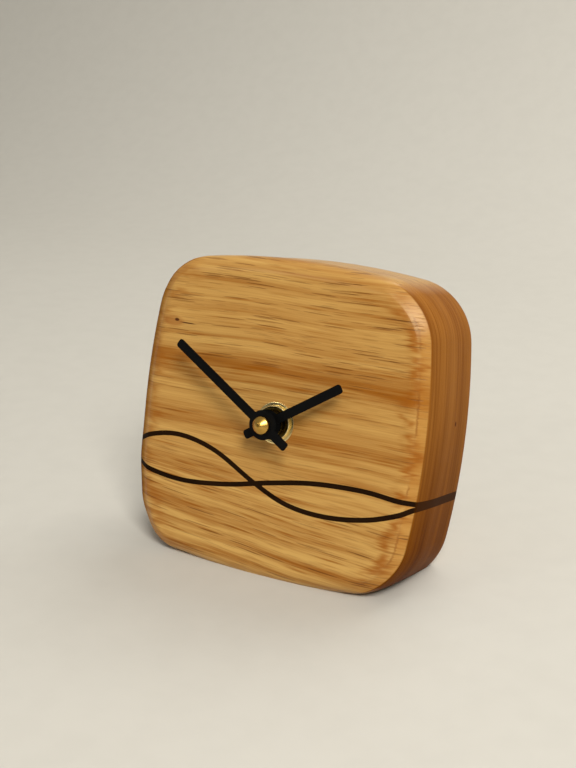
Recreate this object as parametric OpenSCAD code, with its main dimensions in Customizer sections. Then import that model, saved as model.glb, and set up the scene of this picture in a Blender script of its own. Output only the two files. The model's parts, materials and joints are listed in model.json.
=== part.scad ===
// Desk clock: a leaning oak block with two inlaid waves, bare hands on the wood and a quartz movement
// in a pocket behind them. Millimetres, +Z up, the origin in the middle of the level foot.
// Every piece is drawn in the face's own frame: X to the right, Y up the face, Z out of the face towards
// the reader, with zero at the middle of the face. on_table() then leans the whole clock back.

/* [Block] */
// Width and height of the face
face_size = 100; // [94:1:130]
// Depth of the block from front to back
block_d = 35; // [33:0.5:50]
// Radius of the four corners
corner_r = 20.5; // [14:0.5:26]
// Angle at which each bowed side runs into its corners, in degrees
side_bow = 7.5; // [3:0.5:10]
// Round on the front edge
front_round = 4; // [1:0.25:6]
// Round on the back edge
back_round = 5; // [1:0.25:6]
// Lean of the face from upright, in degrees
lean = 14; // [6:0.5:20]
// Height sawn off the lowest edge for the level foot
foot_cut = 1; // [0.5:0.25:5]
// Wood between the face and the pocket behind it
front_wall = 11; // [8:0.5:13]
// Radius of the pocket's corners
pocket_r = 6; // [3:0.5:9]
// Gap all round between the movement and the pocket
pocket_gap = 1; // [0.5:0.25:2.5]
// Gap round the bush in its bore through the wood
bore_gap = 0.4; // [0.2:0.1:1]

/* [Inlay] */
// Thickness of the dark strips
strip_t = 1.5; // [0.8:0.1:2.5]

/* [Hands] */
// Hour hand from the axis to its tip
hour_length = 27.4; // [18:0.2:32]
// Hour hand from the axis to the end of its tail
hour_tail = 8.4; // [5.5:0.2:12]
// Minute hand from the axis to its tip
minute_length = 38.3; // [28:0.2:44]
// Minute hand from the axis to the end of its tail
minute_tail = 10.1; // [5.5:0.2:14]
// Width of both hands
hand_w = 2.4; // [2:0.1:4]
// Thickness of both hands
hand_t = 0.5; // [0.3:0.1:0.8]
// Diameter of the hubs of both hands
hub_d = 8.6; // [8:0.2:12]
// Corner radius at the ends of the hands
hand_corner = 0.8; // [0.2:0.1:0.9]
// Hour hand, in degrees clockwise from twelve
hour_angle = 57.5; // [0:0.5:360]
// Minute hand, in degrees clockwise from twelve
minute_angle = 302.4; // [0:0.1:360]

/* [Front fittings] */
// Outer diameter of the threaded bush
bush_d = 7.9; // [7:0.1:9]
// How far the bush stands out of the nut
bush_proud = 1.9; // [0.2:0.1:2.5]
// Diameter of the brass washer
washer_d = 13; // [12.5:0.5:18]
// Thickness of the brass washer
washer_t = 0.5; // [0.3:0.1:1]
// Diameter of the round brass nut
nut_d = 11; // [10:0.1:12]
// Thickness of the brass nut
nut_t = 1.2; // [0.8:0.1:3]
// Gap between the bush and the hour hand behind it
hour_gap = 0.5; // [0.3:0.1:1.5]
// Length of the collar behind the hour hand
collar_t = 1; // [0.5:0.1:2]
// Gap between the hour hand and the minute hand
hand_gap = 2.2; // [1:0.1:4]
// Diameter of the cap nut
cap_d = 5.4; // [4.6:0.1:7]
// Height of the cap nut's straight skirt
cap_skirt = 1.2; // [0.8:0.1:2]
// Height of the cap nut's cone above its skirt
cap_cone = 1.6; // [0.8:0.1:3]
// Flat left at the top of the cone, across
cap_tip_d = 1.6; // [0.6:0.1:3]

/* [Movement] */
// Width and height of the movement
movement_size = 56; // [55:0.5:60]
// Thickness of the movement
movement_t = 16; // [15.8:0.2:19]
// Thickness of the rubber washer in front of the movement
rubber_t = 0.8; // [0.5:0.1:1.5]
// Diameter of the rubber washer
rubber_d = 24; // [14:1:40]
// Radius of the movement case's corners
case_r = 3; // [1:0.5:5]
// Thickness of the movement's side walls
shell_t = 1.2; // [0.8:0.1:1.4]
// Thickness of the movement's floor and of its cover
floor_t = 1.4; // [1.2:0.1:1.6]
// Diameter of the battery
battery_d = 14.2; // [13.5:0.1:14.5]
// Length of the battery, with its nub
battery_l = 50.5; // [49:0.1:51]
// Room for a contact at each end of the battery
contact_room = 1.55; // [1.2:0.05:3]
// Diameter of the setting knob
knob_d = 13; // [9:0.5:15]
// Thickness of the setting knob
knob_t = 3; // [2:0.2:4]

/* [Gear train] */
// From the hands' axis to the motion wheel
motion_distance = 9; // [8.8:0.1:9.4]
// From the hands' axis to the third wheel
third_distance = 9; // [8.7:0.1:9.3]
// From the hands' axis to the intermediate wheel
inter_distance = 9.3; // [9.2:0.1:9.5]
// From the intermediate wheel to the rotor
rotor_distance = 7; // [6.8:0.1:7.1]
// Thickness of the wheels
wheel_t = 0.8; // [0.6:0.1:1]
// Step from one layer of wheels to the next
layer_step = 1.7; // [1.6:0.05:1.8]
// Radius of the steel arbors
arbor_r = 0.5; // [0.4:0.05:0.6]
// Running gap between a pivot and its hole
run_gap = 0.06; // [0.03:0.01:0.09]

/* [Hidden] */
$fn = 64;

// Colours of the materials
oak_colour = "#c08a3e";
inlay_colour = "#2b1a10";
brass_colour = "#c9a24a";
black_colour = "#17171a";
steel_colour = "#9a9da1";
white_colour = "#e6e4dc";

// The block's outline: four bowed sides of radius side_r and four corners of radius corner_r, tangent where
// they meet, at the angle side_bow from each side's middle
half = face_size / 2;
side_r = (half - corner_r * (cos(side_bow) - sin(side_bow))) / (1 - cos(side_bow) + sin(side_bow));
corner_at = (side_r - corner_r) * sin(side_bow);
// How far inside the outline the straight core ends, and the widths of the rounded bands that overlap it
core_inset = (max(front_round, back_round) + corner_r) / 2;
corner_band = (corner_r + core_inset) / 2;
side_band = 1.2 * core_inset + side_r * (1 - cos(side_bow));

// How the block stands: height of the face's middle above the table, and its place front to back
face_up = half * cos(lean) - foot_cut;
face_back = face_up * tan(lean) - block_d / (2 * cos(lean));
// Larger than anything that is cut away
far = 3 * face_size;

// The two waves, as shares of half the face: the long one falls to the right, the short ones rise
long_wave = [
    [-1.06, -0.31], [-0.88, -0.224], [-0.66, -0.194], [-0.4, -0.25], [-0.1, -0.398],
    [0.14, -0.487], [0.4, -0.507], [0.66, -0.472], [0.86, -0.405], [0.96, -0.352], [1.06, -0.33]
];
short_wave = [
    [-1.06, -0.39], [-0.88, -0.452], [-0.62, -0.478], [-0.3, -0.443], [0, -0.376],
    [0.3, -0.322], [0.62, -0.303], [0.84, -0.316], [1.06, -0.316]
];
wave_steps = 4;

// Depths behind the face, all as positive numbers
case_front = front_wall + rubber_t;
chamber_front = case_front + floor_t;
case_back = case_front + movement_t;
chamber_back = case_back - floor_t;

// The movement's inside, from its middle: as wide as the battery with its contacts needs, if that is more
inner_y = movement_size / 2 - shell_t;
inner_x = max(inner_y, battery_l / 2 + contact_room);
case_size = 2 * [inner_x + shell_t, inner_y + shell_t];
pocket_size = case_size + 2 * pocket_gap * [1, 1];

// Layers of wheels, counted from the front
layer_gap = 0.4;
function layer(i) = chamber_front + layer_gap + i * layer_step;
hour_layer = 0;
motion_layer = 1;
centre_layer = 2;
third_layer = 3;
seconds_layer = 4;
inter_layer = 5;
bridge_layer = 6;
bridge_t = 1;
// A pinion is longer than the wheel it meets by this much at each end
pinion_over = 0.2;
bridge_front = layer(bridge_layer);
bridge_back = bridge_front + bridge_t;

// Heights in front of the face
nut_top = washer_t + nut_t;
bush_top = nut_top + bush_proud;
hour_hand_at = bush_top + hour_gap + collar_t;
hour_pipe_over = 0.2;
hour_pipe_top = hour_hand_at + hand_t + hour_pipe_over;
minute_hand_at = hour_hand_at + hand_t + hand_gap;
cap_at = minute_hand_at + hand_t;
thread_length = hand_t + cap_skirt;
pipe_end = minute_hand_at + thread_length;

// Pipes and arbors on the hands' axis
press_gap = 0.02;
thread_gap = 0.05;
hour_pipe_r = 2.5;
minute_pipe_r = 1.75;
minute_thread_r = 1.4;
clutch_r = 1.5;
clutch_lip = 0.15;
collar_r = hour_pipe_r + 1.1;
bush_flange_r = bush_d / 2 + 1.6;
bush_flange_t = 0.7;

// Teeth: the rotor turns 30 times for one turn of the seconds wheel, the seconds wheel 60 times for one turn
// of the centre wheel, and the minute pipe 12 times for one turn of the hour wheel
rotor_teeth = 8;
inter_teeth = 48;
inter_pinion_teeth = 10;
seconds_teeth = 50;
seconds_pinion_teeth = 8;
third_teeth = 60;
third_pinion_teeth = 8;
centre_teeth = 64;
cannon_teeth = 12;
motion_teeth = 36;
motion_pinion_teeth = 10;
hour_teeth = 40;
setting_teeth = 12;
// Pressure angle, tooth height above and depth below the pitch circle, and thinning, as shares of the module
pressure = 20;
addendum = 0.8;
dedendum = 1.15;
thinning = 0.12;
// Fewest teeth that need no shifted profile
plain_teeth = 17;

function module_for(distance, a, b) = 2 * distance / (a + b);
cannon_module = module_for(motion_distance, cannon_teeth, motion_teeth);
hour_module = module_for(motion_distance, motion_pinion_teeth, hour_teeth);
centre_module = module_for(third_distance, third_pinion_teeth, centre_teeth);
third_module = module_for(third_distance, seconds_pinion_teeth, third_teeth);
seconds_module = module_for(inter_distance, inter_pinion_teeth, seconds_teeth);
inter_module = module_for(rotor_distance, rotor_teeth, inter_teeth);
setting_distance = cannon_module * (motion_teeth + setting_teeth) / 2;

// Directions from one axis to the next, and the places of the axes on the face
motion_side = 180;
third_side = 20;
inter_side = 90;
function at(distance, angle) = distance * [cos(angle), sin(angle)];
motion_at = at(motion_distance, motion_side);
knob_at = motion_at + at(setting_distance, motion_side);
third_at = at(third_distance, third_side);
inter_at = at(inter_distance, inter_side);
rotor_at = inter_at + at(rotor_distance, inter_side);

// Turn of a gear of b teeth so that it meets a gear of a teeth, turned by turn_a, seen from which it lies in
// direction side: a tooth of one faces a gap of the other
function mesh_turn(side, a, turn_a, b) = side + 180 - (180 - (side - turn_a) * a) / b;
motion_turn = mesh_turn(motion_side, cannon_teeth, 0, motion_teeth);
hour_turn = mesh_turn(motion_side + 180, motion_pinion_teeth, motion_turn, hour_teeth);
setting_turn = mesh_turn(motion_side, motion_teeth, motion_turn, setting_teeth);
third_turn = mesh_turn(third_side, seconds_pinion_teeth, 0, third_teeth);
centre_turn = mesh_turn(third_side + 180, third_pinion_teeth, third_turn, centre_teeth);
inter_turn = mesh_turn(inter_side, seconds_teeth, 0, inter_pinion_teeth);
rotor_turn = mesh_turn(inter_side, inter_teeth, inter_turn, rotor_teeth);

// Movement case: the chamber for the wheels above, the bay for the battery below
bay_gap = 0.8;
bay_top = -inner_y + battery_d + bay_gap;
chamber_bottom = bay_top + shell_t;
bay_middle = (bay_top - inner_y) / 2;
battery_gap = 0.1;
battery_depth = chamber_front + battery_gap + battery_d / 2;
chamber_low = [-inner_x, chamber_bottom];
chamber_high = [inner_x, inner_y];
inner_r = 1;
cover_lip = shell_t / 2;
cover_gap = 0.1;

// Posts that carry the bridge, the stator and the circuit board: each has a peg through the piece on it
post_r = 1.5;
peg_r = 0.7;
pivot_depth = 1;
boss_r = 0.95;
bridge_rim = 2;
third_r = third_module * third_teeth / 2;
motion_r = cannon_module * motion_teeth / 2;
bridge_low = [knob_at[0] - 2.5 * bridge_rim, chamber_bottom + 0.8];
bridge_high = [third_at[0] + third_r + 0.2, rotor_at[1] + 2.3];
bridge_posts = [
    [bridge_low[0] + bridge_rim, bridge_low[1] + bridge_rim],
    [bridge_high[0] - bridge_rim, bridge_low[1] + bridge_rim],
    [motion_at[0] - motion_r - 0.25, bridge_high[1] - 2.3 * bridge_rim],
    [bridge_high[0] - bridge_rim, bridge_high[1] - 2.3 * bridge_rim]
];

// Motor
coil_r = 3.3;
coil_half = 9.4;
flange_t = 1;
coil_up = inner_y - 0.2 - coil_r;
stator_t = 1;
stator_half = 12.6;
stator_leg = 3;
magnet_r = 2.2;
magnet_gap = 0.4;
magnet_t = 2.8;
stator_front = layer(third_layer) + wheel_t + 0.1;
stator_back = stator_front + stator_t;
stator_low = rotor_at[1] - 3.6;
stator_high = coil_up - coil_r - 0.2;
core_w = 2;
core_t = 1.2;
coil_depth = stator_back + core_t / 2;
magnet_front = stator_front + stator_t / 2 - magnet_t / 2;
stator_posts = [for (s = [-1, 1]) [s * (stator_half - stator_leg / 2), rotor_at[1]]];

// Circuit board on the right of the chamber
board_t = 0.8;
board_gap = 1;
board_low = [bridge_high[0] + board_gap, chamber_bottom + 1.6];
board_high = [inner_x - 0.6, rotor_at[1] + 2.7];
board_front = stator_back;
board_back = board_front + board_t;
board_x = (board_low[0] + board_high[0]) / 2;
board_posts = [[board_x, board_low[1] + 3], [board_x, board_high[1] - 3]];
crystal_r = 1;
crystal_l = 6;
chip_r = 2.6;
chip_t = 1.1;

// Contacts: strips of sheet metal on edge, bowed towards the battery
leaf_t = 0.3;
leaf_in = inner_x - 0.25;
leaf_bow = battery_l / 2 + 0.15 + leaf_t / 2;
leaf_w = 8;
leaf_front = battery_depth - leaf_w / 2;
contact_slot = 0.5;

// Cubic through each point of a list, with each point's slope set by its two neighbours
function neighbour(p, i) = i < 0 ? 2 * p[0] - p[1]
    : i >= len(p) ? 2 * p[len(p) - 1] - p[len(p) - 2]
    : p[i];
function cubic(a, b, c, d, t) =
    b + t / 2 * (c - a + t * (2 * a - 5 * b + 4 * c - d + t * (3 * (b - c) + d - a)));
function curve(p, steps) = [
    for (i = [0 : len(p) - 2], k = [0 : steps - (i == len(p) - 2 ? 0 : 1)])
        cubic(neighbour(p, i - 1), p[i], p[i + 1], neighbour(p, i + 2), k / steps)
];

// The same curve moved sideways by d
function slope(p, i) = neighbour(p, i + 1) - neighbour(p, i - 1);
function beside(p, d) = [
    for (i = [0 : len(p) - 1])
        let (s = slope(p, i)) p[i] + d * [-s[1], s[0]] / norm(s)
];
function reversed(p) = [for (i = [len(p) - 1 : -1 : 0]) p[i]];

// A strip of width w along a curve
module ribbon(p, w) {
    polygon(concat(beside(p, w / 2), reversed(beside(p, -w / 2))));
}

// Stands the clock, drawn with its face flat, on its foot
module on_table() {
    translate([0, face_back, face_up]) rotate([90 - lean, 0, 0]) children();
}

// A flat piece between two depths behind the face
module behind(front, back) {
    translate([0, 0, -back]) linear_extrude(back - front) children();
}

// A flat piece between two heights in front of the face
module before(low, high) {
    translate([0, 0, low]) linear_extrude(high - low) children();
}

module ring(outer, hole) {
    difference() {
        circle(outer);
        circle(hole);
    }
}

// Rectangle between two corners, with round corners
module round_box(low, high, r) {
    size = high - low;
    translate(low + [r, 0]) square([size[0] - 2 * r, size[1]]);
    translate(low + [0, r]) square([size[0], size[1] - 2 * r]);
    for (x = [low[0] + r, high[0] - r], y = [low[1] + r, high[1] - r]) translate([x, y]) circle(r);
}

// The same, centred
module round_plate(size, r) {
    round_box(-size / 2, size / 2, r);
}

// Moves by v in a coarse and a fine step, so that a long move keeps its small digits and neighbours meet
module move_finely(v) {
    coarse = [for (d = v) round(d)];
    translate(coarse) translate(v - coarse) children();
}

// Section of the block's edge, a band inwards from the outline at zero, with both edges rounded
module edge_section(band) {
    difference() {
        translate([-band, -block_d]) square([band, block_d]);
        translate([-front_round, -front_round]) difference() {
            square(front_round + 1);
            circle(front_round);
        }
        translate([-back_round, back_round - block_d]) mirror([0, 1]) difference() {
            square(back_round + 1);
            circle(back_round);
        }
    }
}

// The whole block before it is sawn: four corners, four bowed sides and the core between them
module block() {
    for (k = [0 : 3]) rotate(90 * k) {
        move_finely([corner_at, corner_at])
            rotate_extrude(angle = 90 - 2 * side_bow, start = side_bow, $fn = 96)
                move_finely([corner_r, 0]) edge_section(corner_band);
        move_finely([half - side_r, 0])
            rotate_extrude(angle = 2 * side_bow, start = -side_bow, $fn = 360)
                move_finely([side_r, 0]) edge_section(side_band);
    }
    core_r = corner_r - core_inset;
    behind(0, block_d) polygon([
        for (k = [0 : 3], a = [side_bow, 90 - side_bow])
            let (c = 90 * k, p = [corner_at, corner_at] + at(core_r, a))
                [p[0] * cos(c) - p[1] * sin(c), p[0] * sin(c) + p[1] * cos(c)]
    ]);
}

// One region of the face, sawn through the block, with the pocket and the bore cut
module sawn() {
    difference() {
        intersection() {
            block();
            behind(-1, block_d + 1) children();
        }
        behind(front_wall, block_d + 2) round_plate(pocket_size, pocket_r);
        behind(-2, front_wall + 1) circle(bush_d / 2 + bore_gap);
    }
}

long_curve = curve(half * long_wave, wave_steps);
short_curve = curve(half * short_wave, wave_steps);

// Everything on one side of a curve: side is 1 above it and -1 below it
module beyond(p, side) {
    polygon(concat(p, [[p[len(p) - 1][0], side * face_size], [p[0][0], side * face_size]]));
}

// What lies on the given sides of both curves, less the strips
module oak_region(side_of_long, side_of_short) {
    difference() {
        intersection() {
            beyond(long_curve, side_of_long);
            beyond(short_curve, side_of_short);
        }
        ribbon(long_curve, strip_t);
        ribbon(short_curve, strip_t);
    }
}

// The short strip's length on one side of the long strip
module short_strip(side_of_long) {
    difference() {
        intersection() {
            ribbon(short_curve, strip_t);
            beyond(long_curve, side_of_long);
        }
        ribbon(long_curve, strip_t);
    }
}

module oak_upper() {
    color(oak_colour) on_table() sawn() oak_region(1, 1);
}

module oak_lower() {
    color(oak_colour) difference() {
        on_table() sawn() oak_region(-1, -1);
        translate([-far / 2, -far / 2, -far]) cube(far);
    }
}

module oak_left_leaf() {
    color(oak_colour) on_table() sawn() oak_region(-1, 1);
}

module oak_right_leaf() {
    color(oak_colour) on_table() sawn() oak_region(1, -1);
}

module inlay_long() {
    color(inlay_colour) on_table() sawn() ribbon(long_curve, strip_t);
}

module inlay_left() {
    color(inlay_colour) on_table() sawn() short_strip(-1);
}

module inlay_right() {
    color(inlay_colour) on_table() sawn() short_strip(1);
}

module brass_washer() {
    color(brass_colour) on_table() before(0, washer_t) ring(washer_d / 2, bush_d / 2 + 2 * thread_gap);
}

module brass_nut() {
    color(brass_colour) on_table() before(washer_t, nut_top) ring(nut_d / 2, bush_d / 2 + thread_gap);
}

module threaded_bush() {
    color(brass_colour) on_table() {
        behind(-bush_top, chamber_front) ring(bush_d / 2, hour_pipe_r + run_gap);
        behind(case_front, case_front + bush_flange_t) ring(bush_flange_r, hour_pipe_r + run_gap);
    }
}

module rubber_washer() {
    color(black_colour) on_table() behind(front_wall, case_front)
        ring(rubber_d / 2, bush_d / 2 + bore_gap);
}

// A straight hand with a round hub, drawn pointing up
module hand_outline(length, tail) {
    round_box([-hand_w / 2, -tail], [hand_w / 2, length], hand_corner);
    circle(hub_d / 2);
}

module hour_hand() {
    hole = hour_pipe_r + press_gap;
    color(black_colour) on_table() {
        before(hour_hand_at, hour_hand_at + hand_t) rotate(-hour_angle) difference() {
            hand_outline(hour_length, hour_tail);
            circle(hole);
        }
        before(hour_hand_at - collar_t, hour_hand_at) ring(collar_r, hole);
    }
}

module minute_hand() {
    color(black_colour) on_table() before(minute_hand_at, cap_at) rotate(-minute_angle) difference() {
        hand_outline(minute_length, minute_tail);
        circle(minute_thread_r + press_gap);
    }
}

module cap_nut() {
    hole = minute_thread_r + thread_gap;
    color(brass_colour) on_table() translate([0, 0, cap_at]) rotate_extrude() difference() {
        polygon([
            [0, 0], [cap_d / 2, 0], [cap_d / 2, cap_skirt],
            [cap_tip_d / 2, cap_skirt + cap_cone], [0, cap_skirt + cap_cone]
        ]);
        translate([-1, -1]) square([hole + 1, cap_skirt + 1 + thread_gap]);
    }
}

// Half angle of a tooth at radius r: the involute of the base circle, straight inwards from there
function involute(a) = tan(a) * 180 / PI - a;
function tooth_half(teeth, shift, share) =
    let (base = cos(pressure))
        90 / teeth + (2 * shift * tan(pressure) - thinning) / teeth * 180 / PI
        + involute(pressure) - (share > base ? involute(acos(base / share)) : 0);

// Outline of a gear: four points up each flank of each tooth
function gear_points(teeth, size, shift) =
    let (
        pitch = size * teeth / 2,
        tip = pitch + size * (addendum + shift),
        root = pitch - size * (dedendum - shift),
        start = max(pitch * cos(pressure), root + 0.3 * (tip - root)),
        radii = [root, start, (start + tip) / 2, tip]
    ) [
        for (k = [0 : teeth - 1], side = [-1, 1], i = [0 : 3])
            let (r = radii[side < 0 ? i : 3 - i])
                at(r, k * 360 / teeth + side * tooth_half(teeth, shift, r / pitch))
    ];

// Few teeth are shifted outwards, and the wheel they meet is shifted inwards by as much
function shift_for(few) = max(0, (plain_teeth - few) / plain_teeth);

module pinion_outline(teeth, size) {
    polygon(gear_points(teeth, size, shift_for(teeth)));
}

module wheel_outline(teeth, size, mates_with) {
    polygon(gear_points(teeth, size, -shift_for(mates_with)));
}

// A steel arbor between two depths
module arbor(front, back) {
    behind(front, back) circle(arbor_r);
}

module hour_wheel() {
    color(white_colour) on_table() {
        behind(layer(hour_layer), layer(hour_layer) + wheel_t) rotate(hour_turn) difference() {
            wheel_outline(hour_teeth, hour_module, motion_pinion_teeth);
            circle(minute_pipe_r + run_gap);
        }
        behind(-hour_pipe_top, layer(hour_layer)) ring(hour_pipe_r, minute_pipe_r + run_gap);
    }
}

// Pipe that carries the minute hand: a thread in front, a pinion in the movement and a neck for the clutch
module minute_pipe() {
    hole = arbor_r + run_gap;
    pinion_front = layer(motion_layer) - pinion_over;
    pinion_back = layer(motion_layer) + wheel_t + pinion_over;
    neck_back = layer(centre_layer) + wheel_t + pinion_over;
    color(brass_colour) on_table() {
        behind(-pipe_end, -minute_hand_at) ring(minute_thread_r, hole);
        behind(-minute_hand_at, pinion_front) ring(minute_pipe_r, hole);
        behind(pinion_front, pinion_back) difference() {
            pinion_outline(cannon_teeth, cannon_module);
            circle(hole);
        }
        behind(pinion_back, neck_back) ring(clutch_r, hole);
        behind(neck_back, neck_back + pinion_over) ring(clutch_r + clutch_lip, hole);
    }
}

// Wheel that the motor turns: its hub slips on the minute pipe's neck when the hands are set
module centre_wheel() {
    spokes = 3;
    rim = centre_module * (centre_teeth / 2 - 3);
    hub = clutch_r + 1;
    color(white_colour) on_table() behind(layer(centre_layer), layer(centre_layer) + wheel_t)
        rotate(centre_turn) {
            difference() {
                wheel_outline(centre_teeth, centre_module, third_pinion_teeth);
                circle(rim);
            }
            ring(hub, clutch_r + run_gap);
            for (k = [0 : spokes - 1]) rotate(360 / spokes * k)
                translate([hub - 0.3, -0.6]) square([rim - hub + 0.6, 1.2]);
        }
}

// Wheel and pinion on one arbor: the pinion is on the wheel's front
module wheel_with_pinion(place, turn, wheel_layer, pinion_layer) {
    translate(place) {
        behind(layer(wheel_layer), layer(wheel_layer) + wheel_t) rotate(turn) children(0);
        behind(layer(pinion_layer) - pinion_over, layer(wheel_layer)) rotate(turn) children(1);
    }
}

module third_wheel() {
    color(white_colour) on_table() {
        wheel_with_pinion(third_at, third_turn, third_layer, centre_layer) {
            wheel_outline(third_teeth, third_module, seconds_pinion_teeth);
            pinion_outline(third_pinion_teeth, centre_module);
        }
        translate(third_at) arbor(layer(centre_layer) - pinion_over - pivot_depth, bridge_back);
    }
}

// The seconds wheel's arbor runs forward inside the minute pipe and ends under the cap nut
module seconds_wheel() {
    color(white_colour) on_table() {
        wheel_with_pinion([0, 0], 0, seconds_layer, third_layer) {
            wheel_outline(seconds_teeth, seconds_module, inter_pinion_teeth);
            pinion_outline(seconds_pinion_teeth, third_module);
        }
        arbor(-pipe_end + pinion_over, bridge_back);
    }
}

module intermediate_wheel() {
    color(white_colour) on_table() {
        wheel_with_pinion(inter_at, inter_turn, inter_layer, seconds_layer) {
            wheel_outline(inter_teeth, inter_module, rotor_teeth);
            pinion_outline(inter_pinion_teeth, seconds_module);
        }
        translate(inter_at) arbor(layer(centre_layer) - pinion_over - pivot_depth, bridge_back);
    }
}

// The motion wheel's pinion is in front of it and drives the hour wheel
module motion_wheel() {
    color(white_colour) on_table() {
        wheel_with_pinion(motion_at, motion_turn, motion_layer, hour_layer) {
            wheel_outline(motion_teeth, cannon_module, cannon_teeth);
            pinion_outline(motion_pinion_teeth, hour_module);
        }
        translate(motion_at) arbor(chamber_front - pivot_depth, bridge_back);
    }
}

module rotor_arbor() {
    pinion_front = layer(inter_layer) - pinion_over;
    color(steel_colour) on_table() translate(rotor_at) {
        behind(pinion_front, layer(inter_layer) + wheel_t + pinion_over) rotate(rotor_turn)
            pinion_outline(rotor_teeth, inter_module);
        arbor(magnet_front - run_gap - pivot_depth, bridge_back);
    }
}

module rotor_magnet() {
    color("#4a4a4e") on_table() translate(rotor_at) behind(magnet_front, magnet_front + magnet_t)
        ring(magnet_r, arbor_r + press_gap);
}

// Flat stator: a limb with the rotor's hole and two legs up to the coil's core
module stator() {
    color(steel_colour) on_table() behind(stator_front, stator_back) difference() {
        union() {
            translate([-stator_half, stator_low]) square([2 * stator_half, stator_high - stator_low]);
            for (x = [-stator_half, stator_half - stator_leg])
                translate([x, stator_low]) square([stator_leg, coil_up + core_w / 2 - stator_low]);
        }
        translate(rotor_at) circle(magnet_r + magnet_gap);
        for (p = stator_posts) translate(p) circle(peg_r + run_gap);
    }
}

module coil_core() {
    color(steel_colour) on_table() behind(stator_back, stator_back + core_t)
        translate([-stator_half, coil_up - core_w / 2]) square([2 * stator_half, core_w]);
}

// Puts a piece drawn along the Z axis along the coil instead
module along_coil() {
    translate([0, coil_up, -coil_depth]) rotate([0, 90, 0]) children();
}

module coil_bobbin() {
    tube = core_w;
    hole = [core_t, core_w] + 2 * run_gap * [1, 1];
    color(white_colour) on_table() along_coil() difference() {
        union() {
            translate([0, 0, -coil_half]) cylinder(r = tube, h = 2 * coil_half);
            for (z = [-coil_half, coil_half - flange_t])
                translate([0, 0, z]) cylinder(r = coil_r, h = flange_t);
        }
        translate([-hole[0] / 2, -hole[1] / 2, -coil_half - 1]) cube([hole[0], hole[1], 2 * coil_half + 2]);
    }
}

module coil_winding() {
    color("#a85a2a") on_table() along_coil() translate([0, 0, flange_t - coil_half])
        linear_extrude(2 * (coil_half - flange_t)) ring(coil_r - 0.4, core_w + press_gap);
}

// Plate that holds the arbors' rear pivots
module wheel_bridge() {
    color(white_colour) on_table() behind(bridge_front, bridge_back) difference() {
        round_box(bridge_low, bridge_high, post_r);
        for (p = [[0, 0], motion_at, third_at, inter_at, rotor_at]) translate(p) circle(arbor_r + run_gap);
        translate(knob_at) circle(2 * arbor_r + run_gap);
        for (p = bridge_posts) translate(p) circle(peg_r + run_gap);
    }
}

// A post from the chamber's floor, with a peg that goes through the piece on it
module post(place, seat, top) {
    translate(place) {
        behind(chamber_front, seat) circle(post_r);
        behind(seat, top) circle(peg_r);
    }
}

// A boss from the chamber's floor that a front pivot turns in
module boss(place, top) {
    translate(place) behind(chamber_front, top) circle(boss_r);
}

// The slot that a contact's strip goes through, from the battery's bay to the wheels' chamber
module contact_slots() {
    for (side = [-1, 1]) translate([side * leaf_in, chamber_bottom - shell_t / 2])
        square([2 * contact_slot, 3 * shell_t], center = true);
}

// Front of the movement's case, with the posts and bosses that carry what is inside
module movement_plate() {
    hole = arbor_r + run_gap;
    color(black_colour) on_table() difference() {
        union() {
            behind(case_front, chamber_front) round_plate(case_size, case_r);
            for (p = bridge_posts) post(p, bridge_front, bridge_back);
            for (p = stator_posts) post(p, stator_front, stator_back);
            for (p = board_posts) post(p, board_front, board_back);
            boss(third_at, layer(centre_layer) - 2 * pinion_over);
            boss(inter_at, layer(centre_layer) - 2 * pinion_over);
            boss(rotor_at, magnet_front - 2 * run_gap);
        }
        behind(case_front - 1, chamber_front + 1) circle(bush_d / 2 + thread_gap);
        behind(case_front - 1, case_front + bush_flange_t) circle(bush_flange_r + thread_gap);
        for (p = [motion_at, knob_at]) translate(p)
            behind(chamber_front - pivot_depth, chamber_front + 1) circle(hole);
        for (p = [third_at, inter_at]) translate(p)
            behind(layer(centre_layer) - pinion_over - pivot_depth, layer(centre_layer)) circle(hole);
        translate(rotor_at) behind(magnet_front - run_gap - pivot_depth, magnet_front) circle(hole);
    }
}

// Walls of the case, round the wheels' chamber and the battery's bay
module movement_frame() {
    color(black_colour) on_table() difference() {
        behind(chamber_front, case_back) round_plate(case_size, case_r);
        behind(chamber_front - 1, case_back + 1) round_box(chamber_low, chamber_high, inner_r);
        behind(chamber_front - 1, case_back + 1) round_box([-inner_x, -inner_y], [inner_x, bay_top], inner_r);
        behind(chamber_back, case_back + 1)
            round_box(chamber_low - [1, 1] * cover_lip, chamber_high + [1, 1] * cover_lip, inner_r);
        behind(leaf_front, leaf_front + leaf_w) contact_slots();
    }
}

module movement_cover() {
    edge = cover_lip - cover_gap;
    ring_t = 0.3;
    color(black_colour) on_table() difference() {
        union() {
            behind(chamber_back, case_back)
                round_box(chamber_low - [1, 1] * edge, chamber_high + [1, 1] * edge, inner_r);
            translate(knob_at) behind(case_back, case_back + ring_t) ring(knob_d / 2 - 1, knob_d / 2 - 2.5);
        }
        translate(knob_at) behind(chamber_back - 1, case_back + 1) circle(2 * arbor_r + run_gap);
    }
}

// Knob on the back of the movement: its arbor carries the pinion that turns the motion wheel
module setting_knob() {
    flutes = 24;
    flute_r = 0.5;
    knob_front = case_back + layer_gap;
    color(black_colour) on_table() translate(knob_at) {
        behind(knob_front, knob_front + knob_t) difference() {
            circle(knob_d / 2);
            for (k = [0 : flutes - 1]) rotate(360 / flutes * k) translate([knob_d / 2, 0]) circle(flute_r);
        }
        behind(layer(motion_layer) - pinion_over, knob_front) circle(2 * arbor_r);
        behind(layer(motion_layer) - pinion_over, layer(motion_layer) + wheel_t + pinion_over)
            rotate(setting_turn) pinion_outline(setting_teeth, cannon_module);
        arbor(chamber_front - pivot_depth, layer(motion_layer));
    }
}

module circuit_board() {
    color("#3a6b45") on_table() behind(board_front, board_back) difference() {
        round_box(board_low, board_high, 0.5);
        for (p = board_posts) translate(p) circle(peg_r + run_gap);
    }
}

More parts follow.
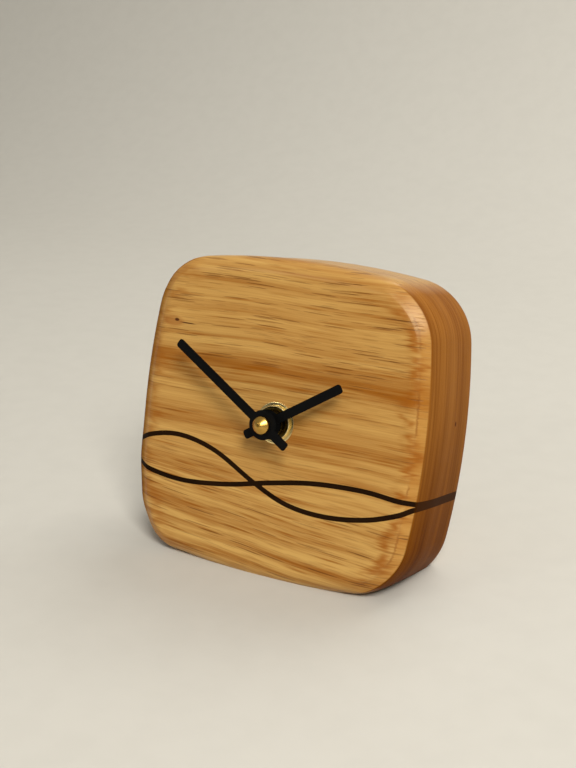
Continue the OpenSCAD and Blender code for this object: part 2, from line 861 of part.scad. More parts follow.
// The crystal's can lies on the back of the board
module quartz_crystal() {
    can_at = [board_x, board_high[1] - 6 - crystal_l, -board_back - crystal_r - run_gap];
    color(steel_colour) on_table() translate(can_at) rotate([-90, 0, 0])
        cylinder(r = crystal_r, h = crystal_l);
}

// The chip's dome of black resin on the back of the board
module chip() {
    dome_r = (chip_r * chip_r + chip_t * chip_t) / (2 * chip_t);
    color(black_colour) on_table() translate([board_x, board_low[1] + 8, -board_back]) intersection() {
        translate([0, 0, dome_r - chip_t]) sphere(dome_r);
        behind(0, 2 * chip_t) circle(chip_r + 1);
    }
}

// Spring leaf at one end of the bay, from its foot up to the slot
function leaf_path(side) = [
    [side * leaf_in, -inner_y + 2], [side * leaf_bow, bay_middle], [side * leaf_in, bay_top - 1.5],
    [side * leaf_in, chamber_bottom + 0.4]
];

module positive_contact() {
    color(steel_colour) on_table() behind(leaf_front, leaf_front + leaf_w)
        ribbon(concat(leaf_path(1), [[leaf_in, board_low[1] + 4]]), leaf_t);
}

// The negative strip runs on along the foot of the chamber to the board
module negative_contact() {
    run_up = chamber_bottom + 0.4;
    color(steel_colour) on_table() {
        behind(leaf_front, leaf_front + leaf_w) ribbon(leaf_path(-1), leaf_t);
        behind(board_front - 2, board_front - 0.1) {
            translate([-leaf_in - leaf_t / 2, run_up - leaf_t / 2])
                square([leaf_in + board_x + leaf_t, leaf_t]);
            translate([board_x - leaf_t / 2, run_up]) square([leaf_t, board_low[1] + 1 - run_up]);
        }
    }
}

module battery() {
    nub_r = 2.75;
    nub_l = 1;
    edge = 0.6;
    body_end = battery_l / 2 - nub_l;
    color("#3f4650") on_table() translate([0, bay_middle, -battery_depth]) rotate([0, 90, 0]) rotate_extrude()
        polygon([
            [0, -battery_l / 2], [battery_d / 2 - edge, -battery_l / 2],
            [battery_d / 2, edge - battery_l / 2], [battery_d / 2, body_end - edge],
            [battery_d / 2 - edge, body_end], [nub_r, body_end], [nub_r, battery_l / 2], [0, battery_l / 2]
        ]);
}

oak_upper();
oak_lower();
oak_left_leaf();
oak_right_leaf();
inlay_long();
inlay_left();
inlay_right();
brass_washer();
brass_nut();
threaded_bush();
rubber_washer();
hour_hand();
minute_hand();
cap_nut();
movement_plate();
movement_frame();
movement_cover();
wheel_bridge();
setting_knob();
hour_wheel();
minute_pipe();
motion_wheel();
centre_wheel();
third_wheel();
seconds_wheel();
intermediate_wheel();
rotor_arbor();
rotor_magnet();
stator();
coil_core();
coil_bobbin();
coil_winding();
circuit_board();
quartz_crystal();
chip();
positive_contact();
negative_contact();
battery();
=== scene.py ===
# %% [markdown]
# # An oak desk clock with two inlaid waves
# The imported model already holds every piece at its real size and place. This lesson dresses it: the wood is
# made again as one hand-sanded block and sawn into its pieces, the hands and the brass get rounded edges that
# catch the light, and every piece gets a finish made of shader nodes.

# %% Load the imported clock
import json
import math

import bmesh
import bpy
import numpy as np
from mathutils import Matrix, Vector

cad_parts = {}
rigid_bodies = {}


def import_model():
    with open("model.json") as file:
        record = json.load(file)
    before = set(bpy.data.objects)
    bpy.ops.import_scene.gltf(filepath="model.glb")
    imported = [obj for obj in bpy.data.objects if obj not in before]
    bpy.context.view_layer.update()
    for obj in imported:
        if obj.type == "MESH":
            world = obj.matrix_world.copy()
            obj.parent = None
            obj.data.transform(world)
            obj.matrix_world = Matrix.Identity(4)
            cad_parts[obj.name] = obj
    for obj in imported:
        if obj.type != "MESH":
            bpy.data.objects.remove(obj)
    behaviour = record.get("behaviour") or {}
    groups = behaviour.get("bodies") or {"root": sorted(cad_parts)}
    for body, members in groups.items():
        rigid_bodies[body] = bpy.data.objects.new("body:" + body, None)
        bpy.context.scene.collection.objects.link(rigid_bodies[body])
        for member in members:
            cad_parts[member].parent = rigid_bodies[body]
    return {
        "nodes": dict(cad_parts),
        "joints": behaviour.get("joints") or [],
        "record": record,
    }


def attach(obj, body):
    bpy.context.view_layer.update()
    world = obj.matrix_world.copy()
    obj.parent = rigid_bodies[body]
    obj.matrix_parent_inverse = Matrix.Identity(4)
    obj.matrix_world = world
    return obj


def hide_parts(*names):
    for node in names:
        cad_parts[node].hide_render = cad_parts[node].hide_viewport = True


for leftover in list(bpy.data.objects):
    bpy.data.objects.remove(leftover)
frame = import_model()
scene = bpy.context.scene
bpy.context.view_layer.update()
nodes = frame["nodes"]
joints = {joint["name"]: joint for joint in frame["joints"]}

# %% [markdown]
# ## The face's own frame
# The clock leans back, so nothing on it is level. It is easier to think in the face's own frame, in
# millimetres: x to the right, y up the face, z out of the face. The axis of the minute hand says where that
# frame is: it passes through the middle of the face and points into the clock.

# %% From the face's frame to the clock's
MM = 0.001
FACE_MIDDLE = np.array(joints["minute_turn"]["pos_m"])
FACE_OUT = -np.array(joints["minute_turn"]["axis"])
FACE_RIGHT = np.array([1.0, 0.0, 0.0])
FACE_UP = np.cross(FACE_OUT, FACE_RIGHT)
FACE_AXES = np.stack([FACE_RIGHT, FACE_UP, FACE_OUT])
LEAN = math.asin(FACE_UP[1])


def on_table(points):
    """Face millimetres to clock metres: the face's middle plus x to the right, y up and z out."""
    return FACE_MIDDLE + MM * (points @ FACE_AXES)


def on_face(points):
    """The way back: metres in the clock's frame to millimetres in the face's frame."""
    return (points - FACE_MIDDLE) @ FACE_AXES.T / MM


print("the face leans back by", round(math.degrees(LEAN), 2), "degrees")

# %% [markdown]
# ## The camera
# The camera was fitted to the photo from the block's outline: where it stands, which way it looks, and how
# far it rolls. A lens on a 36 mm sensor that spans the picture's longer side gives the photo's field of view.

# %% Camera
EYE = np.array([184.83, -326.89, 191.06]) * MM
TURN, RISE, ROLL = np.radians([29.36, 19.49, -0.38])
FOCAL_PIXELS = 1300
PICTURE_HEIGHT = 768
SENSOR = 36


def add_object(name, data):
    """A new object in the scene for a camera, a mesh or a lamp."""
    made = bpy.data.objects.new(name, data)
    scene.collection.objects.link(made)
    return made


backward = np.array([math.sin(TURN) * math.cos(RISE), -math.cos(TURN) * math.cos(RISE), math.sin(RISE)])
level_right = np.array([math.cos(TURN), math.sin(TURN), 0.0])
level_up = np.cross(backward, level_right)
right = level_right * math.cos(ROLL) + level_up * math.sin(ROLL)
up = level_up * math.cos(ROLL) - level_right * math.sin(ROLL)

camera_data = bpy.data.cameras.new("camera")
camera_data.sensor_width = SENSOR
camera_data.lens = FOCAL_PIXELS * SENSOR / PICTURE_HEIGHT
camera_data.clip_start = 0.01
camera = add_object("camera", camera_data)
placed = np.eye(4)
placed[:3, :3] = np.stack([right, up, backward], 1)
placed[:3, 3] = EYE
camera.matrix_world = Matrix(placed.tolist())
scene.camera = camera
print("lens", round(camera_data.lens, 2), "mm")

# %% [markdown]
# ## Surfaces from arrays
# Every new piece is a stack of closed rings of points, one array of rings x points x 3. Quads join each ring
# to the next. A stack that ends gets a flat face on its first and last ring, and one that closes on itself,
# as round a hole, joins its last ring to its first.

# %% Helpers for meshes


def ring_faces(rings, around, closed):
    """Quads between neighbouring rings, and a face on each end ring if the stack doesn't close on itself."""
    ring = np.arange(rings if closed else rings - 1)[:, None]
    point = np.arange(around)[None, :]
    after, beside = (ring + 1) % rings, (point + 1) % around
    corners = [ring * around + point, ring * around + beside, after * around + beside, after * around + point]
    faces = np.stack(np.broadcast_arrays(*corners), -1).reshape(-1, 4).tolist()
    if not closed:
        faces.append(list(range(around - 1, -1, -1)))
        faces.append(list(range((rings - 1) * around, rings * around)))
    return faces


def make_piece(name, stack, closed=False):
    """An object from a stack of rings in the face's frame. Its faces are turned outwards."""
    mesh = bpy.data.meshes.new(name)
    rings, around = stack.shape[:2]
    mesh.from_pydata(on_table(stack.reshape(-1, 3)), [], ring_faces(rings, around, closed))
    skin = bmesh.new()
    skin.from_mesh(mesh)
    bmesh.ops.remove_doubles(skin, verts=skin.verts, dist=1e-8)
    bmesh.ops.recalc_face_normals(skin, faces=skin.faces)
    skin.to_mesh(mesh)
    skin.free()
    return add_object(name, mesh)


def smooth(piece, sharpest=35):
    """Smooth shading, apart from edges that turn by more than the given angle."""
    piece.data.polygons.foreach_set("use_smooth", np.ones(len(piece.data.polygons), bool))
    piece.data.set_sharp_from_angle(angle=math.radians(sharpest))


def cut(piece, tool, operation):
    """Boolean of a piece with a tool, both closed, put into the piece's mesh at once."""
    change = piece.modifiers.new("cut", "BOOLEAN")
    change.operation = operation
    change.solver = "EXACT"
    change.object = tool
    made = piece.evaluated_get(bpy.context.evaluated_depsgraph_get())
    mesh = bpy.data.meshes.new_from_object(made)
    piece.modifiers.clear()
    piece.data = mesh


def throw_away(tool):
    """Deletes a cutting tool with its mesh."""
    mesh = tool.data
    bpy.data.objects.remove(tool)
    bpy.data.meshes.remove(mesh)


# %% [markdown]
# ## The outline of the block
# Seen from the front, the block is a square with bowed sides and large round corners. Both are arcs that meet
# without a kink, so each point of the outline faces its own direction. That direction is a good parameter:
# the point is the centre of its arc plus the arc's radius along the direction, and a smaller radius gives the
# same outline moved inwards.

# %% Outline by the direction that it faces
FACE_HALF = 50.0
BLOCK_DEPTH = 35.0
CORNER_R = 20.5
BOW = math.radians(7.5)
SIDE_R = (FACE_HALF - CORNER_R * (math.cos(BOW) - math.sin(BOW))) / (1 - math.cos(BOW) + math.sin(BOW))
CORNER_AT = (SIDE_R - CORNER_R) * math.sin(BOW)
QUARTER = math.pi / 2


def outline(facing, inset):
    """Outline moved inwards: each quarter turn repeats one side's arc with half a corner on each end."""
    quarter = np.round(facing / QUARTER) * QUARTER
    angle = facing - quarter
    on_side = np.abs(angle) < BOW
    centre_x = np.where(on_side, FACE_HALF - SIDE_R, CORNER_AT)
    centre_y = np.where(on_side, 0.0, np.sign(angle) * CORNER_AT)
    radius = np.where(on_side, SIDE_R, CORNER_R) - inset
    x = centre_x + radius * np.cos(angle)
    y = centre_y + radius * np.sin(angle)
    return x * np.cos(quarter) - y * np.sin(quarter), x * np.sin(quarter) + y * np.cos(quarter)


SIDE_POINTS, CORNER_POINTS = 44, 36
one_side = np.linspace(-BOW, BOW, SIDE_POINTS, endpoint=False)
one_corner = np.linspace(BOW, QUARTER - BOW, CORNER_POINTS, endpoint=False)
quarter_turn = np.concatenate([one_side, one_corner])
FACING = np.concatenate([quarter_turn + k * QUARTER for k in range(4)])
print("outline points", len(FACING))

# %% [markdown]
# ## The sanded front edge
# A router would leave the same quarter circle all round. Sandpaper in a hand leaves a soft round along the
# fibres, at the top and the bottom. Across the cut ends, at both sides, it leaves an inner round, a line, a
# flat facet and a crisp corner. So the edge is built from its turning: the surface turns through 90 degrees,
# and its radius at each turn says how far it moves meanwhile. The radius drifts, as a sum of a few waves
# round the block. Behind the crisp corner, the right side swells on a large radius.

# %% Front edge
# Along the fibres one radius. Across them inner round, line, facet and corner, and the turns between these
ROUND_R = 5.2
BEVEL_RADII = (6.5, 1.2, 30.0, 0.5)
BEVEL_TURNS = np.radians([20, 29, 37])
TURN_BLEND = 0.04
# Share by which the radius drifts, and share by which the edge is smaller at the left corners
EDGE_DRIFT, LEFT_LESS = 0.1, 0.35
SWELL_R, SWELL_TURN, SWELL_BLEND = 52.0, math.radians(77), 0.02
EDGE_STEPS = 73


def drift(facing, seed, waves=7):
    """Slow unevenness from -1 to 1: a sum of sine waves round the block with drawn phases and strengths."""
    draw = np.random.default_rng(seed)
    count = np.arange(1, waves + 1)[:, None]
    strength = draw.uniform(0.4, 1.0, (waves, 1)) / count ** 0.6
    phase = draw.uniform(0, 2 * math.pi, (waves, 1))
    total = (strength * np.sin(count * facing[None, :] + phase)).sum(0)
    return total / np.abs(total).max()


def ease(low, high, value):
    """Smooth step from 0 at low to 1 at high."""
    t = np.clip((value - low) / (high - low), 0, 1)
    return t * t * (3 - 2 * t)


def sanded_edge(facing):
    """Inset and depth along the edge: running sums of the radius times the turn's cosine and sine."""
    turn = np.linspace(0, QUARTER, EDGE_STEPS)[:, None]
    to_right = np.cos(facing)
    across = ease(0.1, 0.45, np.abs(to_right))
    left_corner = ease(0.15, 0.5, -to_right) * ease(1.0, 0.7, -to_right)
    bevel = np.full_like(turn, BEVEL_RADII[0])
    for start, before, after in zip(BEVEL_TURNS, BEVEL_RADII, BEVEL_RADII[1:]):
        bevel = bevel + (after - before) * ease(-TURN_BLEND, TURN_BLEND, turn - start)
    radius = ROUND_R + (bevel - ROUND_R) * across
    radius = radius * (1 + EDGE_DRIFT * drift(facing, 3)) * (1 - LEFT_LESS * left_corner)
    swell = SWELL_R * ease(-0.2, 0.9, to_right)
    radius = radius + swell * ease(-SWELL_BLEND, SWELL_BLEND, turn - SWELL_TURN)
    moved = (radius[1:] + radius[:-1]) / 2 * (turn[1] - turn[0])
    half_turn = (turn[1:] + turn[:-1]) / 2
    start = np.zeros((1, len(facing)))
    run = np.concatenate([start, np.cumsum(moved * np.cos(half_turn), 0)])
    return run[-1] - run, np.concatenate([start, np.cumsum(moved * np.sin(half_turn), 0)])


front_inset, front_depth = sanded_edge(FACING)
corner_inset = front_inset[math.ceil(SWELL_TURN / QUARTER * (EDGE_STEPS - 1)) - 1]
print("front edge up to", round(float(front_inset.max()), 2), "mm wide")

# %% [markdown]
# ## The block in one piece
# The block is one profile carried round the outline: flat front, sanded edge, side, round back edge, flat
# back. Nothing made by hand is quite true: the sides are a little hollow, the left one is fuller where the
# strips come out, and the corner below is worn rounder. These are small amounts added to the outline, so the
# surface stays one closed stack of rings.

# %% Rings of the block
BACK_ROUND, BACK_STEPS = 5.0, 11
SIDE_RINGS = 12
HOLLOW = 0.07
# Amount, middle and spread: of the fuller left side by height, and of the worn corner by direction
LEFT_FULLER, FULL_AT, FULL_SPREAD = 0.54, -19.5, 7.5
CORNER_WORN, CORNER_FACING, CORNER_SPREAD = 0.6, 3.75, 0.25
FLAT_RINGS = np.array([0.1, 0.3, 0.5, 0.7, 0.85, 0.95])

back_turn = np.linspace(QUARTER, 0, BACK_STEPS)[:, None]
back_inset = BACK_ROUND * (1 - np.sin(back_turn)) * np.ones_like(FACING)
back_depth = BLOCK_DEPTH - BACK_ROUND * (1 - np.cos(back_turn)) * np.ones_like(FACING)
side_share = np.linspace(0, 1, SIDE_RINGS + 2)[1:-1, None]
side_depth = front_depth[-1] + side_share * (BLOCK_DEPTH - BACK_ROUND - front_depth[-1])

inset = np.concatenate([front_inset, np.zeros_like(side_depth), back_inset])
depth = np.concatenate([front_depth, side_depth, back_depth])
hollow = HOLLOW * (1 + drift(FACING, 8, 5))[None, :] * np.sin(np.pi * depth / BLOCK_DEPTH)
worn = CORNER_WORN * np.exp(-((FACING - CORNER_FACING) / CORNER_SPREAD) ** 2)
edge_x, edge_y = outline(FACING[None, :], inset + hollow + worn)
fuller = LEFT_FULLER * np.exp(-((edge_y - FULL_AT) / FULL_SPREAD) ** 2)
edge_x = edge_x - fuller * ease(0.5, 0.95, -np.cos(FACING))
edge = np.stack([edge_x, edge_y, -depth], -1)

shrink = FLAT_RINGS[:, None, None]
flat_front = edge[:1] * shrink * [1, 1, 0]
flat_back = edge[-1:] * (shrink[::-1] * [1, 1, 0] + [0, 0, 1])
block = make_piece("block", np.concatenate([flat_front, edge, flat_back]))
print("block faces", len(block.data.polygons))

# %% [markdown]
# ## Pocket, bore and foot
# The movement sits in a pocket milled from the back, its bush goes through a bore, and a level cut makes the
# foot. Each is a tool of its own: a stack of rings for the pocket, which widens a little at its mouth where
# the edge was eased, a plain prism for the bore and a box for the foot.

# %% Milling tools
POCKET_HALF, POCKET_R = 29.0, 6.0
FRONT_WALL = 11.0
BORE_R, BORE_POINTS = 4.35, 64
MOUTH = 0.5
FOOT_HALF, FOOT_DEEP = 90.0, 60.0


def round_square(half, radius, points=9):
    """A square with round corners: four corner centres, each plus the radius along a quarter turn."""
    facing = np.concatenate([np.linspace(0, QUARTER, points) + k * QUARTER for k in range(4)])
    corner = (half - radius) * math.sqrt(2)
    middle = np.repeat(np.arange(4), points) * QUARTER + QUARTER / 2
    return np.stack([corner * np.cos(middle) + radius * np.cos(facing),
                     corner * np.sin(middle) + radius * np.sin(facing)], -1)


def at_depth(points, level):
    """Points of the face put at a height over it."""
    return np.concatenate([points, np.full((len(points), 1), level)], -1)


pocket = ((0, -FRONT_WALL), (0, MOUTH - BLOCK_DEPTH), (2 * MOUTH, -MOUTH - BLOCK_DEPTH))
pocket_tool = make_piece("pocket_tool", np.stack([
    at_depth(round_square(POCKET_HALF + wider, POCKET_R + wider), level) for wider, level in pocket]))
circle = np.linspace(0, 2 * math.pi, BORE_POINTS, endpoint=False)
bore = BORE_R * np.stack([np.cos(circle), np.sin(circle)], -1)
bore_tool = make_piece("bore_tool", np.stack([at_depth(bore, level) for level in (1, -FRONT_WALL - 1)]))
below = FOOT_HALF * np.array([[-1, -1], [1, -1], [1, 1], [-1, 1]])
foot = np.stack([at_depth(below, level) for level in (0, -FOOT_DEEP)])
foot_tool = make_piece("foot_tool", on_face(MM * foot))
for tool in (pocket_tool, bore_tool, foot_tool):
    cut(block, tool, "DIFFERENCE")
    throw_away(tool)
print("block faces after milling", len(block.data.polygons))

# %% [markdown]
# ## Two waves
# The waves are curves through a few points, given as shares of half the face. A cubic between each pair of
# points takes its slopes from the neighbours. Each strip is its curve moved sideways by half its thickness
# both ways, and every piece of oak lies between two such edges, so a piece is cut out by a tool between a
# lower and an upper line.

# %% The edges of the strips
LONG_WAVE = np.array([
    [-1.06, -0.31], [-0.88, -0.224], [-0.66, -0.194], [-0.4, -0.25], [-0.1, -0.398],
    [0.14, -0.487], [0.4, -0.507], [0.66, -0.472], [0.86, -0.406], [0.955, -0.357], [1.06, -0.332]])
SHORT_WAVE = np.array([
    [-1.06, -0.39], [-0.88, -0.452], [-0.62, -0.478], [-0.3, -0.443], [0, -0.376],
    [0.3, -0.322], [0.62, -0.303], [0.84, -0.317], [0.96, -0.325], [1.06, -0.322]])
STRIP = 1.56
ACROSS = np.arange(-52.5, 52.51, 0.25)
BEYOND = 70.0


def strip_edges(wave, steps=12):
    """Lower and upper edge of a strip at every x of ACROSS: a cubic through the points, moved both ways."""
    points = FACE_HALF * np.concatenate([[2 * wave[0] - wave[1]], wave, [2 * wave[-1] - wave[-2]]])
    a, b, c, d = (points[k:len(points) - 3 + k, None] for k in range(4))
    t = np.linspace(0, 1, steps, endpoint=False)[None, :, None]
    line = b + t / 2 * (c - a + t * (2 * a - 5 * b + 4 * c - d + t * (3 * (b - c) + d - a)))
    line = line.reshape(-1, 2)
    slope = np.gradient(line, axis=0)
    sideways = np.stack([-slope[:, 1], slope[:, 0]], -1) / np.linalg.norm(slope, axis=1)[:, None]
    edges = (line + side * STRIP / 2 * sideways for side in (-1, 1))
    return [np.interp(ACROSS, *edge.T) for edge in edges]


long_low, long_high = strip_edges(LONG_WAVE)
short_low, short_high = strip_edges(SHORT_WAVE)
beyond = np.full_like(ACROSS, BEYOND)
regions = {
    "oak_upper": (np.maximum(long_high, short_high), beyond),
    "oak_lower": (-beyond, np.minimum(long_low, short_low)),
    "oak_left_leaf": (short_high, long_low),
    "oak_right_leaf": (long_high, short_low),
    "inlay_long": (long_low, long_high),
    "inlay_left": (short_low, np.minimum(short_high, long_low)),
    "inlay_right": (np.maximum(short_low, long_high), short_high),
}
print("regions", list(regions))

# %% Saw the block into its pieces
THINNEST = 0.01
OVERSHOOT = 2.0


def between(name, low, high):
    """A tool between two lines over the face: a ring of four corners across the block at each open x."""
    open_here = high - low > THINNEST
    x, low, high = ACROSS[open_here], low[open_here], high[open_here]
    front, back = OVERSHOOT, -BLOCK_DEPTH - OVERSHOOT
    ring = [np.stack([x, y, np.full_like(x, z)], -1)
            for y, z in ((low, front), (high, front), (high, back), (low, back))]
    return make_piece(name, np.stack(ring, 1))


dressed = {}
for name, (low, high) in regions.items():
    tool = between("saw", low, high)
    piece = add_object("wood_" + name, block.data.copy())
    cut(piece, tool, "INTERSECT")
    throw_away(tool)
    smooth(piece)
    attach(piece, "root")
    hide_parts(name)
    dressed[name] = piece
    print(piece.name, "faces", len(piece.data.polygons))
throw_away(block)

# %% [markdown]
# ## Where the wood shows its end grain
# The fibres run from left to right, so the left and right sides show their cut ends, which drink more oil and
# turn browner. Three numbers at every point of the wood tell its finish where it is: how far the surface has
# turned from the front to the side, how much that side is cut ends, and how many millimetres the point lies
# inside the crisp corner. They come from the outline, not from the mesh, so that neighbouring pieces agree
# along a saw line.

# %% Attributes for the wood's finish
# At the back the round starts this far inside the outline, and all round the turn ends this near the corner
BACK_CORNER, TURN_ENDS = 0.6, 0.2


def nearest_outline(x, y):
    """Distance inside the outline, and the direction that its nearest point faces."""
    steep = np.abs(y) > np.abs(x)
    minor, major = np.sort(np.abs([x, y]), axis=0)
    side_x = major - (FACE_HALF - SIDE_R)
    on_side = minor < side_x * math.tan(BOW)
    dx = np.where(on_side, side_x, major - CORNER_AT)
    dy = np.where(on_side, minor, minor - CORNER_AT)
    distance = np.where(on_side, SIDE_R, CORNER_R) - np.hypot(dx, dy)
    angle = np.arctan2(np.where(steep, dx, dy), np.where(steep, dy, dx))
    return distance, np.arctan2(np.sign(y) * np.sin(angle), np.sign(x) * np.cos(angle))


def add_wood_attributes(piece):
    """Writes the three numbers at every vertex, from its distance inside the outline and its direction."""
    places = np.empty(len(piece.data.vertices) * 3, np.float32)
    piece.data.vertices.foreach_get("co", places)
    x, y, z = on_face(places.reshape(-1, 3).astype(float)).T
    distance, facing = nearest_outline(x, y)
    corner = np.interp(facing, FACING, corner_inset, period=2 * math.pi)
    width = np.interp(facing, FACING, front_inset[0] - corner_inset, period=2 * math.pi)
    at_back = z < -BLOCK_DEPTH / 2
    corner, width = np.where(at_back, BACK_CORNER, corner), np.where(at_back, BACK_ROUND, width)
    inside = distance - corner
    values = {
        "turned": 1 - np.clip((inside - TURN_ENDS) / width, 0, 1),
        "cut_ends": ease(0.15, 0.6, np.abs(np.cos(facing))),
        "inside": inside,
    }
    for label, value in values.items():
        attribute = piece.data.attributes.new(label, "FLOAT", "POINT")
        attribute.data.foreach_set("value", value.astype(np.float32))


for piece in dressed.values():
    add_wood_attributes(piece)
print("wood attributes on", len(dressed), "pieces")

# %% [markdown]
# ## Hands
# Each hand is a straight baton with a round hub, stamped from thin sheet and painted. One closed outline and
# a round hole bound it. The rings go over the top from the hole, round the softened edge and back underneath,
# so the stack closes on itself. The hour hand has a collar behind it, which is pressed on the hour pipe.

# %% Hand outlines
HAND_HALF, HUB_R, HAND_T, TIP_R = 1.2, 4.3, 0.5, 0.6
HAND_POINTS, HUB_POINTS = 720, 80
SOFT_EDGE, SOFT_STEPS = 0.12, 4


def arc(centre, radius, start, end, points=24):
    """Points on an arc between two angles in degrees."""
    turn = np.radians(np.linspace(start, end, points))[:, None]
    return np.array(centre) + radius * np.concatenate([np.cos(turn), np.sin(turn)], 1)


def baton(length, tail):
    """Outline of a hand that points up: its right half from tip to tail, then the mirror image."""
    shoulder = math.degrees(math.acos(HAND_HALF / HUB_R))
    flat = HAND_HALF - TIP_R
    half = np.concatenate([
        [[0, length]], arc([flat, length - TIP_R], TIP_R, 90, 0),
        arc([0, 0], HUB_R, shoulder, -shoulder, HUB_POINTS),
        arc([flat, TIP_R - tail], TIP_R, 0, -90), [[0, -tail]]])
    loop = np.concatenate([half, half[-2:0:-1] * [-1, 1], half[:1]])
    run = np.concatenate([[0], np.cumsum(np.linalg.norm(np.diff(loop, axis=0), axis=1))])
    spread = np.linspace(0, run[-1], HAND_POINTS, endpoint=False)
    return np.stack([np.interp(spread, run, loop[:, k]) for k in range(2)], -1)


def inwards(line, amount):
    """A clockwise outline moved inwards by an amount, along its own normals."""
    slope = np.roll(line, -1, 0) - np.roll(line, 1, 0)
    normal = np.stack([slope[:, 1], -slope[:, 0]], -1) / np.linalg.norm(slope, axis=1)[:, None]
    return line - amount * normal


# %% Hands


def dress(name, stack, body, sharpest):
    """A new piece in the place of an imported one, from a stack that closes on itself."""
    piece = make_piece("dressed_" + name, stack, closed=True)
    smooth(piece, sharpest)
    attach(piece, body)
    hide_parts(name)
    dressed[name] = piece


def hand(name, line, angle, level, hole, body, collar=None):
    """One hand from its lowest level up, turned clockwise from twelve by an angle in degrees."""
    out = line / np.linalg.norm(line, axis=1)[:, None]
    soft_turn = np.linspace(0, QUARTER, SOFT_STEPS)
    soft = [(SOFT_EDGE * (1 - math.sin(t)), SOFT_EDGE * (1 - math.cos(t))) for t in soft_turn]
    rings = [at_depth(hole * out, HAND_T), at_depth(inwards(line, 2 * SOFT_EDGE), HAND_T)]
    rings += [at_depth(inwards(line, side), HAND_T - down) for side, down in soft]
    rings += [at_depth(inwards(line, side), down) for side, down in soft[::-1]]
    if collar:
        rings += [at_depth(collar[0] * out, 0), at_depth(collar[0] * out, -collar[1])]
    rings.append(at_depth(hole * out, -collar[1] if collar else 0))
    sine, cosine = math.sin(math.radians(angle)), math.cos(math.radians(angle))
    turned = np.stack(rings) @ np.array([[cosine, -sine, 0], [sine, cosine, 0], [0, 0, 1]])
    dress(name, turned + [0, 0, level], body, sharpest=50)


hand("hour_hand", baton(length=27.4, tail=8.4), angle=57.5, level=5.1, hole=2.52, body="hour",
     collar=(3.6, 1.0))
hand("minute_hand", baton(length=38.3, tail=10.1), angle=302.4, level=7.8, hole=1.42, body="minute")
print("dressed with hands", len(dressed))

# %% [markdown]
# ## Brass on the face
# Washer, nut and cap nut are turned from bar, so each is a profile carried round its axis. The nut is round,
# with a small chamfer on its rim. The cap nut is a cone on a short skirt, with its tip just broken.

# %% Turned brass
TURNED_POINTS = 144


def revolve(name, profile, body):
    """A profile of radius and height over the face, carried round the axis and closed on itself."""
    turn = np.linspace(0, 2 * math.pi, TURNED_POINTS, endpoint=False)
    radius, height = np.array(profile, float).T[:, :, None]
    stack = np.stack([radius * np.cos(turn), radius * np.sin(turn), height + 0 * turn], -1)
    dress(name, stack, body, sharpest=38)


revolve("brass_washer", [
    (4.15, 0.0), (6.35, 0.0), (6.5, 0.1), (6.5, 0.3), (6.42, 0.44), (6.25, 0.5), (6.0, 0.5),
    (4.15, 0.5)], "root")
revolve("brass_nut", [
    (4.0, 0.5), (5.42, 0.5), (5.5, 0.58), (5.5, 1.42), (5.44, 1.58), (5.3, 1.68), (5.18, 1.7), (4.3, 1.7),
    (4.0, 1.5)], "root")
revolve("cap_nut", [
    (1.45, 8.3), (2.56, 8.3), (2.66, 8.34), (2.7, 8.44), (2.7, 9.36), (2.68, 9.44), (2.62, 9.53), (2.55, 9.6),
    (0.82, 11.0), (0.66, 11.07), (0.45, 11.1), (0.05, 11.1), (0.05, 9.6), (1.45, 9.6)], "minute")
print("dressed", list(dressed))

# %% [markdown]
# ## Shader building blocks
# The finishes are node trees over the face's own coordinates in millimetres. One helper makes a node, sets it
# up and links it, and a few more give sums, steps and patterns. Effects that several finishes share are node
# groups, with sockets that say what they give.

# %% Helpers for shader nodes


def linear(red, green, blue):
    """A colour picked on a screen, 0 to 255, as the linear light that a shader works with."""
    share = np.array([red, green, blue]) / 255
    light = np.where(share <= 0.04045, share / 12.92, ((share + 0.055) / 1.055) ** 2.4)
    return (*light.tolist(), 1.0)


def plug(tree, socket, value):
    """Links another node's output to a socket, or sets the socket to a number or a colour."""
    if isinstance(value, bpy.types.NodeSocket):
        tree.links.new(value, socket)
    else:
        socket.default_value = value


def node(tree, kind, inputs=(), **settings):
    """A shader node with its settings. Inputs pair a socket's name or number with what is plugged in."""
    made = tree.nodes.new("ShaderNode" + kind)
    for label, value in settings.items():
        setattr(made, label, value)
    for key, value in dict(inputs).items():
        plug(tree, made.inputs[key], value)
    return made


def wire(tree, target, **values):
    """Plugs values into a node's sockets by name. Underscores stand for the spaces in a name."""
    for label, value in values.items():
        plug(tree, target.inputs[label.replace("_", " ")], value)


def math_node(tree, operation, *values):
    """Output of a math node on up to three values."""
    return node(tree, "Math", enumerate(values), operation=operation).outputs[0]


def vector_node(tree, operation, *values):
    """Output of a vector math node on up to two vectors: a number for a length, otherwise a vector."""
    made = node(tree, "VectorMath", enumerate(values), operation=operation)
    return made.outputs["Value" if operation == "LENGTH" else "Vector"]


# %% Helpers for sums, steps and mixes


def times(tree, first, *others):
    """Product of values."""
    for other in others:
        first = math_node(tree, "MULTIPLY", first, other)
    return first


def plus_times(tree, base, value, factor):
    """A base plus a value times a factor."""
    return math_node(tree, "MULTIPLY_ADD", value, factor, base)


def shifted(tree, base, noise, reach):
    """A base moved by a noise: plus the reach times how far the noise is over one half."""
    return plus_times(tree, base, math_node(tree, "SUBTRACT", noise, 0.5), reach)


def step_up(tree, value, low, high):
    """Smooth step of a value from 0 at low to 1 at high."""
    inputs = {"Value": value, "From Min": low, "From Max": high}
    return node(tree, "MapRange", inputs, interpolation_type="SMOOTHSTEP").outputs[0]


def bar_across(tree, value, middle, half):
    """1 where a value is at a middle, easing to 0 at a distance of half from it."""
    distance = math_node(tree, "ABSOLUTE", math_node(tree, "SUBTRACT", value, middle))
    return step_up(tree, distance, half, 0.0)


def blend_colours(tree, share, first, second):
    """Mix of two colours by a share from 0 to 1. Either colour is a constant or an output."""
    return node(tree, "Mix", {0: share, 6: first, 7: second}, data_type="RGBA").outputs[2]


